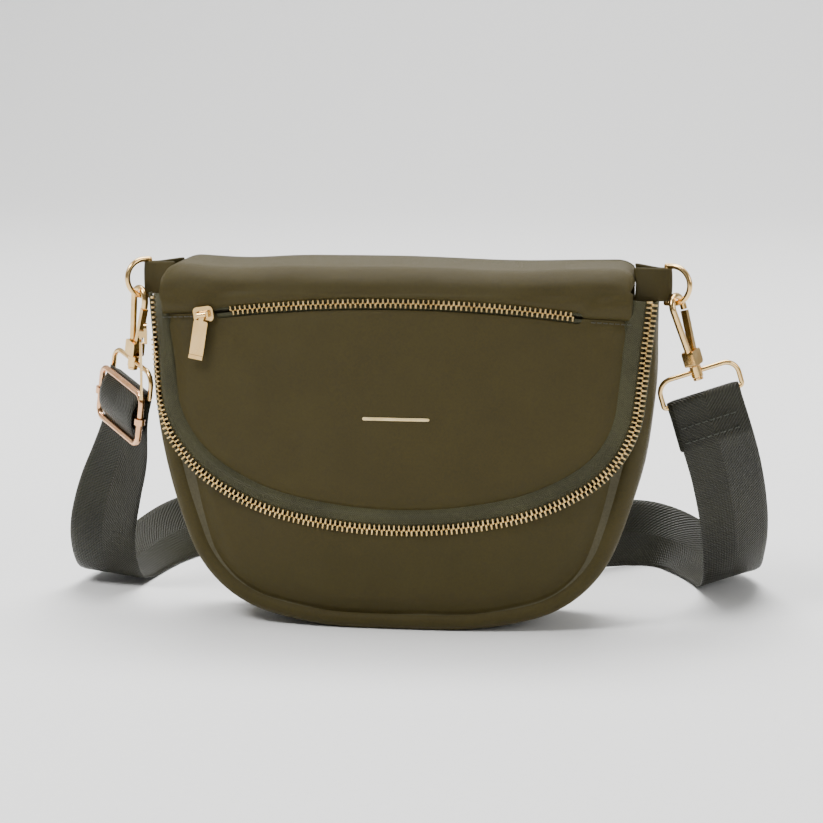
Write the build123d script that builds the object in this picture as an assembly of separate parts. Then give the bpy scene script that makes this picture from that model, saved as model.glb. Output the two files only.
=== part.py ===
from build123d import *
import os
from math import asin, atan2, cos, degrees, radians, sin, sqrt, tan

# Crossbody purse, in millimetres. +X is the wearer's right as seen from the front,
# +Y points to the back, +Z is up. The origin is the middle of the flat under the bag.

# ---- driving dimensions -------------------------------------------------------------
CLOTH = 1.6                # outer fabric with its backing
LINING_CLOTH = 0.6
SEAM_GAP = 0.4             # room between two layers that are not fastened face to face

BAG_TOP = 188.0            # top of the folded flap
RIM_TOP = 170.0            # top of the front panel and of the side gusset
BACK_TOP = 178.0           # top of the back panel, under the flap's fold
FOLD_LOW = 179.0           # lower edge of the flap's roof skirt, just over the back panel
FLAT_HALF = 20.0           # half of the flat under the bag
BODY_ARCS = ((190.0, 15.0), (62.0, 53.0), (260.0, 22.0))      # radius, turn in degrees

FLAP_FRONT = -36.0         # front face of the flap in the middle
BODY_FRONT = -29.4         # front face of the front panel in the middle
BODY_BACK = 29.6           # back face of the back panel in the middle
FRONT_BOW = 900.0          # plan radius of the flap's front face
BACK_BOW = 1400.0          # plan radius of the back face
PLAN_HALF = 140.0          # plan strips are cut wider than the bag
FLAP_LINING_FRONT = -31.4
ROOF_R = 12.0              # rounded front shoulder of the flap
FLAP_HALF = 127.0          # half of the flap's width at the top
FLAP_CORNER = 10.0         # its rounded top corners

CHAIN_BOTTOM = 54.3        # main zip chain line under the flap
CHAIN_TOP = 172.0
FLAP_TEETH_TOP = 145.5     # the flap's row of teeth ends below the slider
CHAIN_ARCS = ((270.0, 12.0), (120.0, 21.0), (56.0, 51.0))
CHAIN_HALF = 2.6           # one row of teeth
TAPE_INNER = 11.0          # flap seam, inside the chain line
TEETH_DEEP = 1.8           # thickness of a row of teeth
GUSSET_TAPE = (0.6, 2.2)   # body side tape stands on edge between these offsets

POCKET_RADIUS = 665.0      # the pocket zip is a shallow arc
POCKET_TOP = 170.6
POCKET_HALF_ANGLE = 8.1
POCKET_TAPE = (1.9, 5.2)   # tape from and to, each side of the chain line
POCKET_DEEP = 95.0
POCKET_WIDE = 150.0
FOIL_BAR = (34.0, 1.6)     # plain foil bar on the flap, width and height
FOIL_BAR_Z = 112.0

SLIDER_THICK = 1.6
PULL_THICK = 1.2
PULL_PIN_R = 0.8
PULL_PIN_OUT = 2.6         # slider plate's middle to the pull's pin

RING_WIRE = 1.4            # wire radius of the D-rings
RING_HALF = 9.5            # half of a D-ring's bar, and radius of its bow
RING_NECK = 3.5
RING_BAR_X = 134.0
RING_Z = 178.0
RUN_FIT = 0.05             # radial clearance of a turning fit

HOOK_WIRE = 1.7
HOOK_BEND = 6.0
HOOK_BASE = 27.0           # bend centre to the base block's middle
LOOP_WIRE = 1.3
LOOP_WIDE = 42.0           # strap loop, between wire centres
LOOP_HIGH = 14.0
LOOP_TOP_CORNER = 7.0
LOOP_LOW_CORNER = 1.6
LOOP_BELOW = 7.3           # base block's middle to the strap loop's upper bar
LOWER_BAR = -HOOK_BASE - LOOP_BELOW - LOOP_HIGH
POST_R = 1.6
PIN_R = 0.9
PIN_X = 2.2                # gate pin, off the hook's middle line

WEB = 38.0                 # webbing width
WEB_THICK = 1.6
ADJUSTER_WIDE = 45.0
ADJUSTER_HIGH = 28.0
ADJUSTER_WIRE = 1.6
ADJUSTER_DROP = 11.0       # strap loop's lower bar to the adjuster's middle
ADJUSTER_FRONT = 5.4       # the adjuster lies in front of the strap's fold

STRAP_END = 16.0           # sewn length under a strap loop

LEFT_BOW = (-0.75, -0.66)  # the way each D-ring's bow points in plan
RIGHT_BOW = (0.90, -0.44)
RIGHT_FACING = (0.20, -0.98)
LEFT_LEAN = 14.0
RIGHT_LEAN = -17.0
HOOK_TURN = 54.0           # right hook's turn on its post

# The pocket slider runs on one circle that fits the zip's arc on the bowed flap.
POCKET_SWING = 10.66
MAIN_SLIDER_Z = 152.0
MAIN_SLIDER_TURN = -78.0   # the main slider faces the side of the bag
POCKET_CENTRE = (0, 282.4, -258.2)
POCKET_AXIS = (0, 0.803, 0.596)

# Middle of the strap, from the left strap loop round the back to the right one. The part
# of it that stands on its edge is a ribbon, and a flat plate hangs from each sewn end to it.
STRAP_ROUTE = (
    (-146.6, 5.3, 119.7), (-154.0, 8.5, 101.0), (-161.5, 12.5, 81.0), (-168.0, 18.5, 58.0),
    (-171.0, 28.0, 32.0), (-171.0, 43.0, 8.0), (-169.0, 62.0, 1.5), (-165.0, 85.0, 3.5),
    (-158.0, 108.0, 9.0), (-144.0, 127.0, 15.0), (-118.0, 135.0, 19.0), (-80.0, 132.0, 19.0),
    (-36.0, 135.0, 19.0), (8.0, 130.0, 19.0), (44.0, 132.0, 19.0), (62.0, 126.0, 19.0),
    (62.0, 116.0, 19.0), (44.0, 110.0, 19.0), (4.0, 113.0, 19.0), (-40.0, 109.0, 19.0),
    (-78.0, 111.0, 19.0), (-96.0, 105.0, 19.0), (-96.0, 94.0, 19.0), (-78.0, 88.0, 19.0),
    (-36.0, 92.0, 19.0), (8.0, 88.0, 19.0), (50.0, 91.0, 19.0), (82.0, 102.0, 19.0),
    (103.0, 120.0, 19.0), (123.0, 134.0, 17.0), (143.0, 131.0, 12.0), (157.0, 115.0, 6.0),
    (166.0, 97.0, 2.0), (171.0, 80.0, 4.0), (173.0, 64.0, 18.0), (173.0, 50.0, 38.0),
    (170.0, 34.0, 62.0), (164.0, 17.0, 90.0), (153.9, 0.3, 120.4),
)
ON_EDGE = slice(7, -6)


def save(node, shape):
    export_step(shape, f"parts/{node}.step")


# ---- outlines -----------------------------------------------------------------------
def arc_path(start, moves):
    """Edges in the XZ plane from a start heading +X: ("line", length) or ("arc", radius, turn)."""
    x, z = start
    heading = 0.0
    edges = []
    for move in moves:
        if move[0] == "line":
            end = (x + move[1] * cos(radians(heading)), z + move[1] * sin(radians(heading)))
            edges.append(Line((x, 0, z), (end[0], 0, end[1])))
        else:
            radius, turn = move[1], move[2]
            centre = (x - radius * sin(radians(heading)), z + radius * cos(radians(heading)))
            points = []
            for part in (0.5, 1.0):
                angle = radians(heading + turn * part)
                points.append((centre[0] + radius * sin(angle), centre[1] - radius * cos(angle)))
            mid, end = points
            edges.append(ThreePointArc((x, 0, z), (mid[0], 0, mid[1]), (end[0], 0, end[1])))
            heading += turn
        x, z = end
    return edges, (x, z), heading


def rise_to(path_end, heading, top):
    """A straight run from a path's end up to a height, along its heading."""
    x, z = path_end
    length = (top - z) / sin(radians(heading))
    end = (x + length * cos(radians(heading)), top)
    return Line((x, 0, z), (end[0], 0, end[1])), end


def closed_outline(start, moves, top):
    """A face with a mirrored bottom path and a flat top."""
    edges, end, heading = arc_path(start, moves)
    side, corner = rise_to(end, heading, top)
    half = edges + [side]
    mirrored = [edge.mirror(Plane.YZ) for edge in half]
    lid = Line((corner[0], 0, top), (-corner[0], 0, top))
    return make_face(Wire(half + mirrored + [lid]))


def body_face(inset, top):
    moves = [("line", FLAT_HALF)]
    moves += [("arc", radius - inset, turn) for radius, turn in BODY_ARCS]
    return closed_outline((0, inset), moves, top)


def chain_face(offset, top):
    """The region inside the main zip's chain line, grown by offset."""
    moves = [("arc", radius + offset, turn) for radius, turn in CHAIN_ARCS]
    return closed_outline((0, CHAIN_BOTTOM - offset), moves, top)


def deep(face):
    """A face in the XZ plane as a prism through the whole bag."""
    return Pos(0, -100, 0) * extrude(face, amount=200, dir=(0, 1, 0))


def bow_point(radius, middle_y, x, side):
    """Y of a plan arc at x; side is +1 where the arc's ends lie behind its middle."""
    return middle_y + side * (radius - sqrt(radius * radius - x * x))


def plan_strip(front, back, front_side=+1, back_side=+1):
    """A wall between two plan arcs. A side of +1 is concentric with the flap's front face,
    and -1 with the back of the bag."""
    arcs = []
    for middle, side in ((front, front_side), (back, back_side)):
        radius = FRONT_BOW - (middle - FLAP_FRONT) if side > 0 else BACK_BOW - (BODY_BACK - middle)
        arcs.append(bow_point(radius, middle, PLAN_HALF, side))
    front_y, back_y = arcs
    front_arc = ThreePointArc((-PLAN_HALF, front_y, 0), (0, front, 0), (PLAN_HALF, front_y, 0))
    back_arc = ThreePointArc((PLAN_HALF, back_y, 0), (0, back, 0), (-PLAN_HALF, back_y, 0))
    left = Line((-PLAN_HALF, back_y, 0), (-PLAN_HALF, front_y, 0))
    right = Line((PLAN_HALF, front_y, 0), (PLAN_HALF, back_y, 0))
    face = make_face(Wire([front_arc, right, back_arc, left]))
    return Pos(0, 0, -20) * extrude(face, amount=240, dir=(0, 0, 1))


# ---- bag body -----------------------------------------------------------------------
def front_panel():
    return deep(body_face(CLOTH + 0.1, RIM_TOP)) & plan_strip(BODY_FRONT, BODY_FRONT + CLOTH)


def back_panel():
    return deep(body_face(CLOTH + 0.1, BACK_TOP)) & plan_strip(BODY_BACK - CLOTH, BODY_BACK, -1, -1)


def side_gusset():
    ring = deep(body_face(0, RIM_TOP)) - deep(body_face(CLOTH, RIM_TOP + 10))
    return ring & plan_strip(BODY_FRONT, BODY_BACK, back_side=-1)


def bag_lining():
    gap = CLOTH + SEAM_GAP
    outer = deep(body_face(gap, RIM_TOP - 2))
    outer &= plan_strip(BODY_FRONT + gap, BODY_BACK - gap, back_side=-1)
    gap += LINING_CLOTH
    inner = deep(body_face(gap, RIM_TOP + 10))
    inner &= plan_strip(BODY_FRONT + gap, BODY_BACK - gap, back_side=-1)
    return outer - inner


# ---- flap ---------------------------------------------------------------------------
def roof_profile(front, back, top, radius):
    """Side profile of the flap's block with a rounded front shoulder, drawn in YZ."""
    points = ((0, front, 20), (0, front, top - radius), (0, front + radius, top), (0, back, top))
    mid = (0, front + radius * (1 - cos(radians(45))), top - radius * (1 - sin(radians(45))))
    edges = [
        Line(points[0], points[1]),
        ThreePointArc(points[1], mid, points[2]),
        Line(points[2], points[3]),
        Line(points[3], (0, back, 20)),
        Line((0, back, 20), points[0]),
    ]
    return Pos(-150, 0, 0) * extrude(make_face(Wire(edges)), amount=300, dir=(1, 0, 0))


def top_corners(inset):
    """The flap's width with its two rounded top corners, through the bag."""
    half = FLAP_HALF - inset
    block = Pos(0, 0, BAG_TOP - 80 - inset) * Box(2 * half, 240, 160)
    edges = block.edges().filter_by(Axis.Y).sort_by(Axis.Z)[-2:]
    return fillet(edges, FLAP_CORNER - inset)


def flap_block(inset):
    """The solid under the flap's outer face, or under its inner face with an inset."""
    block = plan_strip(FLAP_FRONT + inset, 80)
    block &= roof_profile(FLAP_FRONT + inset, BODY_BACK - inset, BAG_TOP - inset, ROOF_R - inset)
    return block & top_corners(inset)


def flap_cover():
    """Outer fabric: the front face down to the zip seam, the roof and its short skirts."""
    shell = flap_block(0) - flap_block(CLOTH)
    front_half = Pos(0, -50, 100) * Box(300, 100, 240)
    skirt_high = BAG_TOP - FOLD_LOW
    roof = Pos(0, 0, FOLD_LOW + skirt_high / 2) * Box(260, 100, skirt_high)
    cover = (shell & deep(chain_face(-TAPE_INNER, 220)) & front_half) + (shell & roof)
    return cover - pocket_band(-POCKET_TAPE[1], POCKET_TAPE[1], -60, 0, POCKET_HALF_ANGLE)


def flap_lining():
    face = deep(chain_face(-TAPE_INNER, RIM_TOP + 8))
    return face & plan_strip(FLAP_LINING_FRONT, FLAP_LINING_FRONT + 1.0)


def chain_band(inner, outer, front, back, top):
    band = deep(chain_face(outer, top)) - deep(chain_face(inner, top + 20))
    return band & plan_strip(front, back)


# ---- pocket zip ---------------------------------------------------------------------
def pocket_point(angle, offset=0.0):
    """X and Z of the pocket's chain line, angle in degrees to the right of the middle."""
    radius = POCKET_RADIUS + offset
    return radius * sin(radians(angle)), POCKET_TOP - POCKET_RADIUS + radius * cos(radians(angle))


def pocket_band(inner, outer, front, back, half_angle):
    corners = []
    for offset in (inner, outer):
        for angle in (-half_angle, 0, half_angle):
            x, z = pocket_point(angle, offset)
            corners.append((x, 0, z))
    edges = [
        ThreePointArc(*corners[0:3]),
        Line(corners[2], corners[5]),
        ThreePointArc(corners[5], corners[4], corners[3]),
        Line(corners[3], corners[0]),
    ]
    return deep(make_face(Wire(edges))) & plan_strip(front, back)


def pocket_bag():
    """The flat lining pouch behind the pocket zip."""
    pouch = Pos(0, 0, POCKET_TOP - 3 - POCKET_DEEP / 2) * Box(POCKET_WIDE, 200, POCKET_DEEP)
    return pouch & plan_strip(FLAP_FRONT + CLOTH + 0.5, FLAP_LINING_FRONT - 0.5)


# ---- sliders and pulls --------------------------------------------------------------
def slider_plate(length, width):
    """Face plate of a zip slider in the local XZ plane. Its front is at local -Y."""
    plate = Box(width, SLIDER_THICK, length)
    return fillet(plate.edges().filter_by(Axis.Y), width * 0.28)


def pull_hinge():
    """Two ears and a cross pin on the front of a slider plate. The pin is along local X."""
    hinge = Pos(0, -PULL_PIN_OUT, 0) * Cylinder(PULL_PIN_R, 6.6, rotation=(0, 90, 0))
    for x in (-2.9, 2.9):
        hinge += Pos(x, -SLIDER_THICK / 2 - 1.3, 0) * Box(1.0, 2.8, 3.2)
    return hinge


def pull_tab(length, width, tilt):
    """A flat pull that hangs from a knuckle round the slider's pin."""
    knuckle = Cylinder(1.5, 4.4, rotation=(0, 90, 0))
    blade = Pos(0, 0, -3 - (length - 3) / 2) * Box(width, PULL_THICK, length - 3)
    blade = fillet(blade.edges().filter_by(Axis.Y), 1.0)
    blade += Pos(0, 0, -2.2) * Box(2.6, PULL_THICK, 3.4)
    blade += Pos(0, -0.25, 1.0 - length) * Box(width, PULL_THICK + 0.5, 2.0)
    pull = knuckle + Rot(0, tilt, 0) * blade
    return pull - Cylinder(PULL_PIN_R + RUN_FIT, 10, rotation=(0, 90, 0))


# ---- strap hardware -----------------------------------------------------------------
def rod(start, end, radius):
    path = Line(start, end)
    return sweep(Plane(origin=path @ 0, z_dir=path % 0) * Circle(radius), path=path)


def d_ring():
    """Bar on the local Z axis, bow towards local +X."""
    ring = rod((0, 0, -RING_HALF), (0, 0, RING_HALF), RING_WIRE)
    for z in (-RING_HALF, RING_HALF):
        ring += rod((0, 0, z), (RING_NECK, 0, z), RING_WIRE)
        ring += Pos(0, 0, z) * Sphere(RING_WIRE)
    bow = ThreePointArc(
        (RING_NECK, 0, RING_HALF), (RING_NECK + RING_HALF, 0, 0), (RING_NECK, 0, -RING_HALF)
    )
    return ring + sweep(Plane(origin=bow @ 0, z_dir=bow % 0) * Circle(RING_WIRE), path=bow)


def ring_tab():
    """Fabric loop round a D-ring's bar, with its tongue sewn to the side of the bag."""
    side = 129.6 - RING_BAR_X
    loop = Cylinder(RING_WIRE + RUN_FIT + CLOTH, 15)
    loop += Pos(side + CLOTH / 2, 0, -7) * Box(CLOTH, 11, 29)
    return loop - Cylinder(RING_WIRE + RUN_FIT, 60)


def snap_hook():
    """Hook in the local XZ plane. The origin is the bend's centre, and the strap is below."""
    arm_foot = (-2.6, 0, -HOOK_BASE + 2)
    hook = rod(arm_foot, (-HOOK_BEND, 0, 0), HOOK_WIRE) + Pos(-HOOK_BEND, 0, 0) * Sphere(HOOK_WIRE)
    bend = ThreePointArc((-HOOK_BEND, 0, 0), (0, 0, HOOK_BEND), (HOOK_BEND, 0, 0))
    hook += sweep(Plane(origin=bend @ 0, z_dir=bend % 0) * Circle(HOOK_WIRE), path=bend)
    hook += rod((HOOK_BEND, 0, 0), (HOOK_BEND, 0, -2.4), HOOK_WIRE)
    base = Pos(0, 0, -HOOK_BASE) * Box(9.6, 6.4, 8.0)
    base = fillet(base.edges().filter_by(Axis.Y), 1.6)
    hook += base
    hook -= Pos(3.3, 0, -HOOK_BASE + 1.2) * Box(7.0, 3.8, 8.0)
    hook -= Pos(PIN_X, 0, -HOOK_BASE) * Cylinder(PIN_R, 20, rotation=(90, 0, 0))
    return hook


def gate_lever():
    """Sprung gate from its pin to the hook's nose."""
    foot = Vector(PIN_X, 0, -HOOK_BASE)
    tip = Vector(HOOK_BEND, 0, -3.2)
    lean = degrees(asin((tip.X - foot.X) / (tip - foot).length))
    length = (tip - foot).length
    bar = Pos(0, 0, length / 2) * Box(2.8, 3.2, length) + Cylinder(1.9, 3.2, rotation=(90, 0, 0))
    bar = bar - Cylinder(PIN_R + RUN_FIT, 10, rotation=(90, 0, 0))
    return Pos(foot) * Rot(0, lean, 0) * bar


def gate_pin():
    return Pos(PIN_X, 0, -HOOK_BASE) * Cylinder(PIN_R, 6.4, rotation=(90, 0, 0))


def swivel_post():
    """Rivet under the hook, through the strap loop's boss."""
    bar_z = -HOOK_BASE - LOOP_BELOW
    return Pos(0, 0, bar_z) * Cylinder(POST_R, 6.6) + Pos(0, 0, bar_z - 3.9) * Cylinder(2.6, 1.2)


def corner(centre, radius, start):
    """Quarter arc in the XZ plane, running clockwise from a start angle."""
    points = []
    for angle in (start, start - 45, start - 90):
        x = centre[0] + radius * cos(radians(angle))
        z = centre[1] + radius * sin(radians(angle))
        points.append((x, 0, z))
    return ThreePointArc(*points)


def loop_path():
    """Closed wire of the strap loop, with its upper bar through the local origin."""
    half, top, low = LOOP_WIDE / 2, LOOP_TOP_CORNER, LOOP_LOW_CORNER
    arcs = [
        corner((half - top, -top), top, 90),
        corner((half - low, low - LOOP_HIGH), low, 0),
        corner((low - half, low - LOOP_HIGH), low, -90),
        corner((top - half, -top), top, 180),
    ]
    edges = []
    for arc, following in zip(arcs, arcs[1:] + arcs[:1]):
        edges += [arc, Line(arc @ 1, following @ 0)]
    return Wire([Line((0, 0, 0), arcs[0] @ 0)] + edges[:-1] + [Line(arcs[3] @ 1, (0, 0, 0))])


def strap_loop_ring():
    """Rounded wire loop with a boss for the post; its upper bar is below the hook."""
    bar_z = -HOOK_BASE - LOOP_BELOW
    path = Pos(0, 0, bar_z) * loop_path()
    loop = sweep(Plane(origin=path @ 0, z_dir=path % 0) * Circle(LOOP_WIRE), path=path)
    loop += Pos(0, 0, bar_z) * Cylinder(3.0, 5.6)
    return loop - Pos(0, 0, bar_z) * Cylinder(POST_R + RUN_FIT, 20)


def strap_end(length):
    """Sewn end of the webbing, folded round the strap loop's lower bar."""
    fold_r = LOOP_WIRE + 0.3 + WEB_THICK
    fold = Cylinder(fold_r, WEB, rotation=(0, 90, 0))
    fold += Pos(0, 0, -length / 2) * Box(WEB, 2 * fold_r, length)
    fold -= Cylinder(LOOP_WIRE + 0.3, WEB + 4, rotation=(0, 90, 0))
    return Pos(0, 0, LOWER_BAR) * fold


def adjuster_frame():
    path = (Rot(90, 0, 0) * RectangleRounded(ADJUSTER_WIDE, ADJUSTER_HIGH, 5)).wire()
    return sweep(Plane(origin=path @ 0, z_dir=path % 0) * Circle(ADJUSTER_WIRE), path=path)


def adjuster_bar():
    """Cross bar with an eye round each side wire."""
    half = ADJUSTER_WIDE / 2
    bar = rod((-half, 0, 0), (half, 0, 0), 1.2)
    for x in (-half, half):
        bar += Pos(x, 0, 0) * Cylinder(ADJUSTER_WIRE + 1.2, 3.4)
    for x in (-half, half):
        bar -= Pos(x, 0, 0) * Cylinder(ADJUSTER_WIRE + RUN_FIT, 20)
    return bar


def strap_bight():
    """Webbing arched over the cross bar, from window to window."""
    inner = 1.2 + 0.3
    outer = inner + WEB_THICK
    arch = Cylinder(outer, WEB, rotation=(0, 90, 0)) - Cylinder(inner, WEB + 2, rotation=(0, 90, 0))
    arch -= Pos(0, 20, 0) * Box(WEB + 4, 40, 40)
    for side in (-1, 1):
        arch += Pos(0, 0.4, side * 5.0) * Box(WEB, WEB_THICK, 7.0)
    return arch


# ---- strap --------------------------------------------------------------------------
def cut_radii(points):
    """The largest arc each corner takes: 0.45 of its shorter run over tan(half the turn)."""
    radii = []
    for before, here, after in zip(points, points[1:], points[2:]):
        turn = (here - before).get_angle(after - here)
        run = min((here - before).length, (after - here).length)
        radii.append(0.45 * run / tan(radians(turn / 2)))
    return radii


def strap_run():
    """The strap standing on its edge: runs and tangent arcs, one webbing thick."""
    points = [Vector(x, y, 0) for x, y, _ in STRAP_ROUTE[ON_EDGE]]
    radii = cut_radii(points)
    print("strap arcs, mm:", [round(radius, 1) for radius in radii])
    path = FilletPolyline(*points, radius=radii)
    start = Plane(origin=path @ 0, z_dir=path % 0, x_dir=(0, 0, 1))
    run = sweep(start * Pos(WEB / 2, 0, 0) * Rectangle(WEB, WEB_THICK), path=path)
    print("strap run volume over section times length:", run.volume / (WEB * WEB_THICK * path.length))
    return run


def strap_drop(top, foot, across):
    """A flat stretch of webbing between two points."""
    along = (foot - top).normalized()
    x_dir = (across - along * across.dot(along)).normalized()
    section = Plane(origin=top, x_dir=x_dir, z_dir=along) * Rectangle(WEB, WEB_THICK)
    return extrude(section, amount=(foot - top).length, dir=along)


# ---- placing ------------------------------------------------------------------------
def hang_frame(point, facing_xy, lean):
    """Local frame at a point: its -Y faces facing_xy and its Z leans about that direction."""
    face = Vector(facing_xy[0], facing_xy[1], 0).normalized()
    across = Vector(-face.Y, face.X, 0)
    x_dir = across * cos(radians(lean)) - Vector(0, 0, 1) * sin(radians(lean))
    return Plane(origin=point, x_dir=x_dir, z_dir=x_dir.cross(face * -1)).location


def ring_contact(side, bow):
    """Middle of a D-ring's wire near the bottom of its bow, where the hook hangs."""
    low = radians(75)
    reach = RING_NECK + RING_HALF * cos(low)
    height = RING_Z - RING_HALF * sin(low)
    return Vector(side * RING_BAR_X + bow[0] * reach, bow[1] * reach, height)


def make_bag():
    save("front_panel", front_panel())
    save("back_panel", back_panel())
    save("side_gusset", side_gusset())
    save("bag_lining", bag_lining())
    gusset_tape = chain_band(*GUSSET_TAPE, FLAP_FRONT + TEETH_DEEP, BODY_FRONT, CHAIN_TOP)
    save("main_zip_body_tape", gusset_tape)
    teeth_back = FLAP_FRONT + TEETH_DEEP
    save("main_zip_body_teeth", chain_band(0.1, CHAIN_HALF, FLAP_FRONT, teeth_back, CHAIN_TOP))


def make_flap():
    save("flap_cover", flap_cover())
    save("flap_lining", flap_lining())
    tape_front = FLAP_FRONT + 0.7
    flap_tape = chain_band(-TAPE_INNER, -CHAIN_HALF, tape_front, tape_front + 0.8, CHAIN_TOP)
    save("main_zip_flap_tape", flap_tape)
    teeth_back = FLAP_FRONT + TEETH_DEEP
    save("main_zip_flap_teeth", chain_band(-CHAIN_HALF, -0.1, FLAP_FRONT, teeth_back, FLAP_TEETH_TOP))
    tape_from, tape_to = POCKET_TAPE
    for name, side in (("upper", 1), ("lower", -1)):
        edges = sorted((side * tape_from, side * tape_to))
        tape = pocket_band(*edges, tape_front, tape_front + 0.8, POCKET_HALF_ANGLE)
        save(f"pocket_zip_{name}_tape", tape)
        edges = sorted((side * 0.1, side * (tape_from - 0.1)))
        teeth = pocket_band(*edges, FLAP_FRONT, teeth_back, POCKET_HALF_ANGLE - 0.3)
        save(f"pocket_zip_{name}_teeth", teeth)
    save("pocket_bag", pocket_bag())
    bar = Pos(0, 0, FOIL_BAR_Z) * Box(FOIL_BAR[0], 100, FOIL_BAR[1])
    save("foil_bar", bar & plan_strip(FLAP_FRONT - 0.3, FLAP_FRONT))


def make_zip_pulls():
    """Sliders at rest, and the pulls that hang from them."""
    main_frame = Pos(-130.5, -26.6, MAIN_SLIDER_Z) * Rot(0, 0, MAIN_SLIDER_TURN)
    save("main_zip_slider", main_frame * (slider_plate(10.5, 7.6) + pull_hinge()))
    save("main_zip_pull", main_frame * Pos(0, -PULL_PIN_OUT, 0) * pull_tab(34, 7, 0))
    plate_y = FLAP_FRONT - SLIDER_THICK / 2 - 0.4
    axis = Axis(POCKET_CENTRE, POCKET_AXIS)
    at_middle = Pos(0, plate_y, POCKET_TOP)
    slider = at_middle * (Rot(0, 90, 0) * slider_plate(10.5, 8.0) + pull_hinge())
    save("pocket_zip_slider", slider.rotate(axis, -POCKET_SWING))
    pull = at_middle * Pos(0, -PULL_PIN_OUT, 0) * pull_tab(23, 7.4, 18)
    save("pocket_zip_pull", pull.rotate(axis, -POCKET_SWING))
    pin = at_middle * Pos(0, -PULL_PIN_OUT, 0) * Line((0, 0, 0), (1, 0, 0))
    pin = pin.rotate(axis, -POCKET_SWING)
    print("pocket pull pin", pin @ 0, "along", pin % 0)
    pin = main_frame * Pos(0, -PULL_PIN_OUT, 0) * Line((0, 0, 0), (1, 0, 0))
    print("main pull pin", pin @ 0, "along", pin % 0)


def make_hardware(name, side, bow, facing, lean, hook_turn):
    ring = Pos(side * RING_BAR_X, 0, RING_Z)
    tab = ring_tab() if side > 0 else ring_tab().mirror(Plane.YZ)
    save(f"{name}_ring_tab", ring * tab)
    bow_angle = degrees(atan2(bow[1], bow[0]))
    save(f"{name}_d_ring", ring * Rot(0, 0, bow_angle) * d_ring())
    loop_frame = hang_frame(ring_contact(side, bow), facing, lean) * Pos(0, 0, -2.3)
    hook_frame = loop_frame * Rot(0, 0, hook_turn)
    save(f"{name}_hook", hook_frame * snap_hook())
    save(f"{name}_gate", hook_frame * gate_lever())
    save(f"{name}_gate_pin", hook_frame * gate_pin())
    save(f"{name}_swivel_post", hook_frame * swivel_post())
    save(f"{name}_strap_loop", loop_frame * strap_loop_ring())
    save(f"{name}_strap_end", loop_frame * strap_end(STRAP_END))
    foot = loop_frame * Pos(0, 0, LOWER_BAR - STRAP_END)
    across = (loop_frame * Line((0, 0, 0), (1, 0, 0))) % 0
    up = (loop_frame * Line((0, 0, 0), (0, 0, 1))) % 0
    out = (hook_frame * Line((0, 0, 0), (0, -1, 0))) % 0
    pin = hook_frame * Pos(PIN_X, 0, -HOOK_BASE)
    print(name, "post axis", up, "through", loop_frame.position)
    print(name, "gate pin", pin.position, "along", out)
    return loop_frame, across, foot.position


def main():
    os.makedirs("parts", exist_ok=True)
    make_bag()
    make_flap()
    make_zip_pulls()
    left, left_across, left_foot = make_hardware("left", -1, LEFT_BOW, LEFT_BOW, LEFT_LEAN, 0)
    _, right_across, right_foot = make_hardware(
        "right", 1, RIGHT_BOW, RIGHT_FACING, RIGHT_LEAN, HOOK_TURN
    )
    adjuster = left * Pos(0, -ADJUSTER_FRONT, LOWER_BAR - ADJUSTER_DROP)
    save("adjuster_frame", adjuster * adjuster_frame())
    save("adjuster_bar", adjuster * adjuster_bar())
    save("strap_bight", adjuster * strap_bight())
    print("adjuster middle", adjuster.position)
    save("strap_run", strap_run())
    run_points = STRAP_ROUTE[ON_EDGE]
    left_low, right_low = (Vector(x, y, WEB / 2) for x, y, _ in (run_points[0], run_points[-1]))
    save("strap_left_drop", strap_drop(left_foot, left_low, left_across))
    save("strap_right_drop", strap_drop(right_foot, right_low, right_across))


main()
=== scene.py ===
import bpy
import math
import numpy as np
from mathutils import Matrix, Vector


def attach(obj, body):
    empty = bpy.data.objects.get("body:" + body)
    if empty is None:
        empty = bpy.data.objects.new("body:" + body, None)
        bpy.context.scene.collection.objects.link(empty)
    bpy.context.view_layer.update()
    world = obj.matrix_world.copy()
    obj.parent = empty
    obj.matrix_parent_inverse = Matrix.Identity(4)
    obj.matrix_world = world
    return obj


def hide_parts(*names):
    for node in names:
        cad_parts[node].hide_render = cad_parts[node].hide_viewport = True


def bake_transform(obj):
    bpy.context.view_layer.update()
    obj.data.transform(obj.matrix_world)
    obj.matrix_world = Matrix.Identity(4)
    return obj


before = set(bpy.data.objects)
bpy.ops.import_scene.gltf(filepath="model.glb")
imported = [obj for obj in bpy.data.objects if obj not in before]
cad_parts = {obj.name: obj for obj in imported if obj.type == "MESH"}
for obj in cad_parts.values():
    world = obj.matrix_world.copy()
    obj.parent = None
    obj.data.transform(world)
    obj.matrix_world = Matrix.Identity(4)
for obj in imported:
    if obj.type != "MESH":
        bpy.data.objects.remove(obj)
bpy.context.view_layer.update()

# ---- sizes, in metres, in the frame's own axes ---------------------------------------
BODY_ARCS = ((0.190, 15.0), (0.062, 53.0), (0.260, 22.0))     # radius, turn in degrees
BODY_FLAT = 0.020           # half of the level stretch under the bag
CHAIN_ARCS = ((0.270, 12.0), (0.120, 21.0), (0.056, 51.0))    # the same for the main zip's line
CHAIN_BOTTOM = 0.0543
CHAIN_TOP = 0.172
RIM_TOP = 0.170             # top of the front panel
BACK_TOP = 0.178            # top of the back panel
FRONT_BOW = 0.900           # radius in plan of the bag's front, and of its back
BACK_BOW = 1.400
FLAP_FRONT = -0.036         # Y of each layer at the middle
BODY_FRONT = -0.0294
BODY_BACK = 0.0296
LINING_FRONT = -0.0270
LINING_BACK = 0.0272
FLAP_LINING = -0.0314
POUCH_Y = -0.0331
SEAM_IN = 0.0105            # flap seam, inside the chain line
BAG_TOP = 0.188
POCKET_RADIUS = 0.665
POCKET_TOP = 0.1706
TOOTH_PITCH = 0.00254
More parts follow.
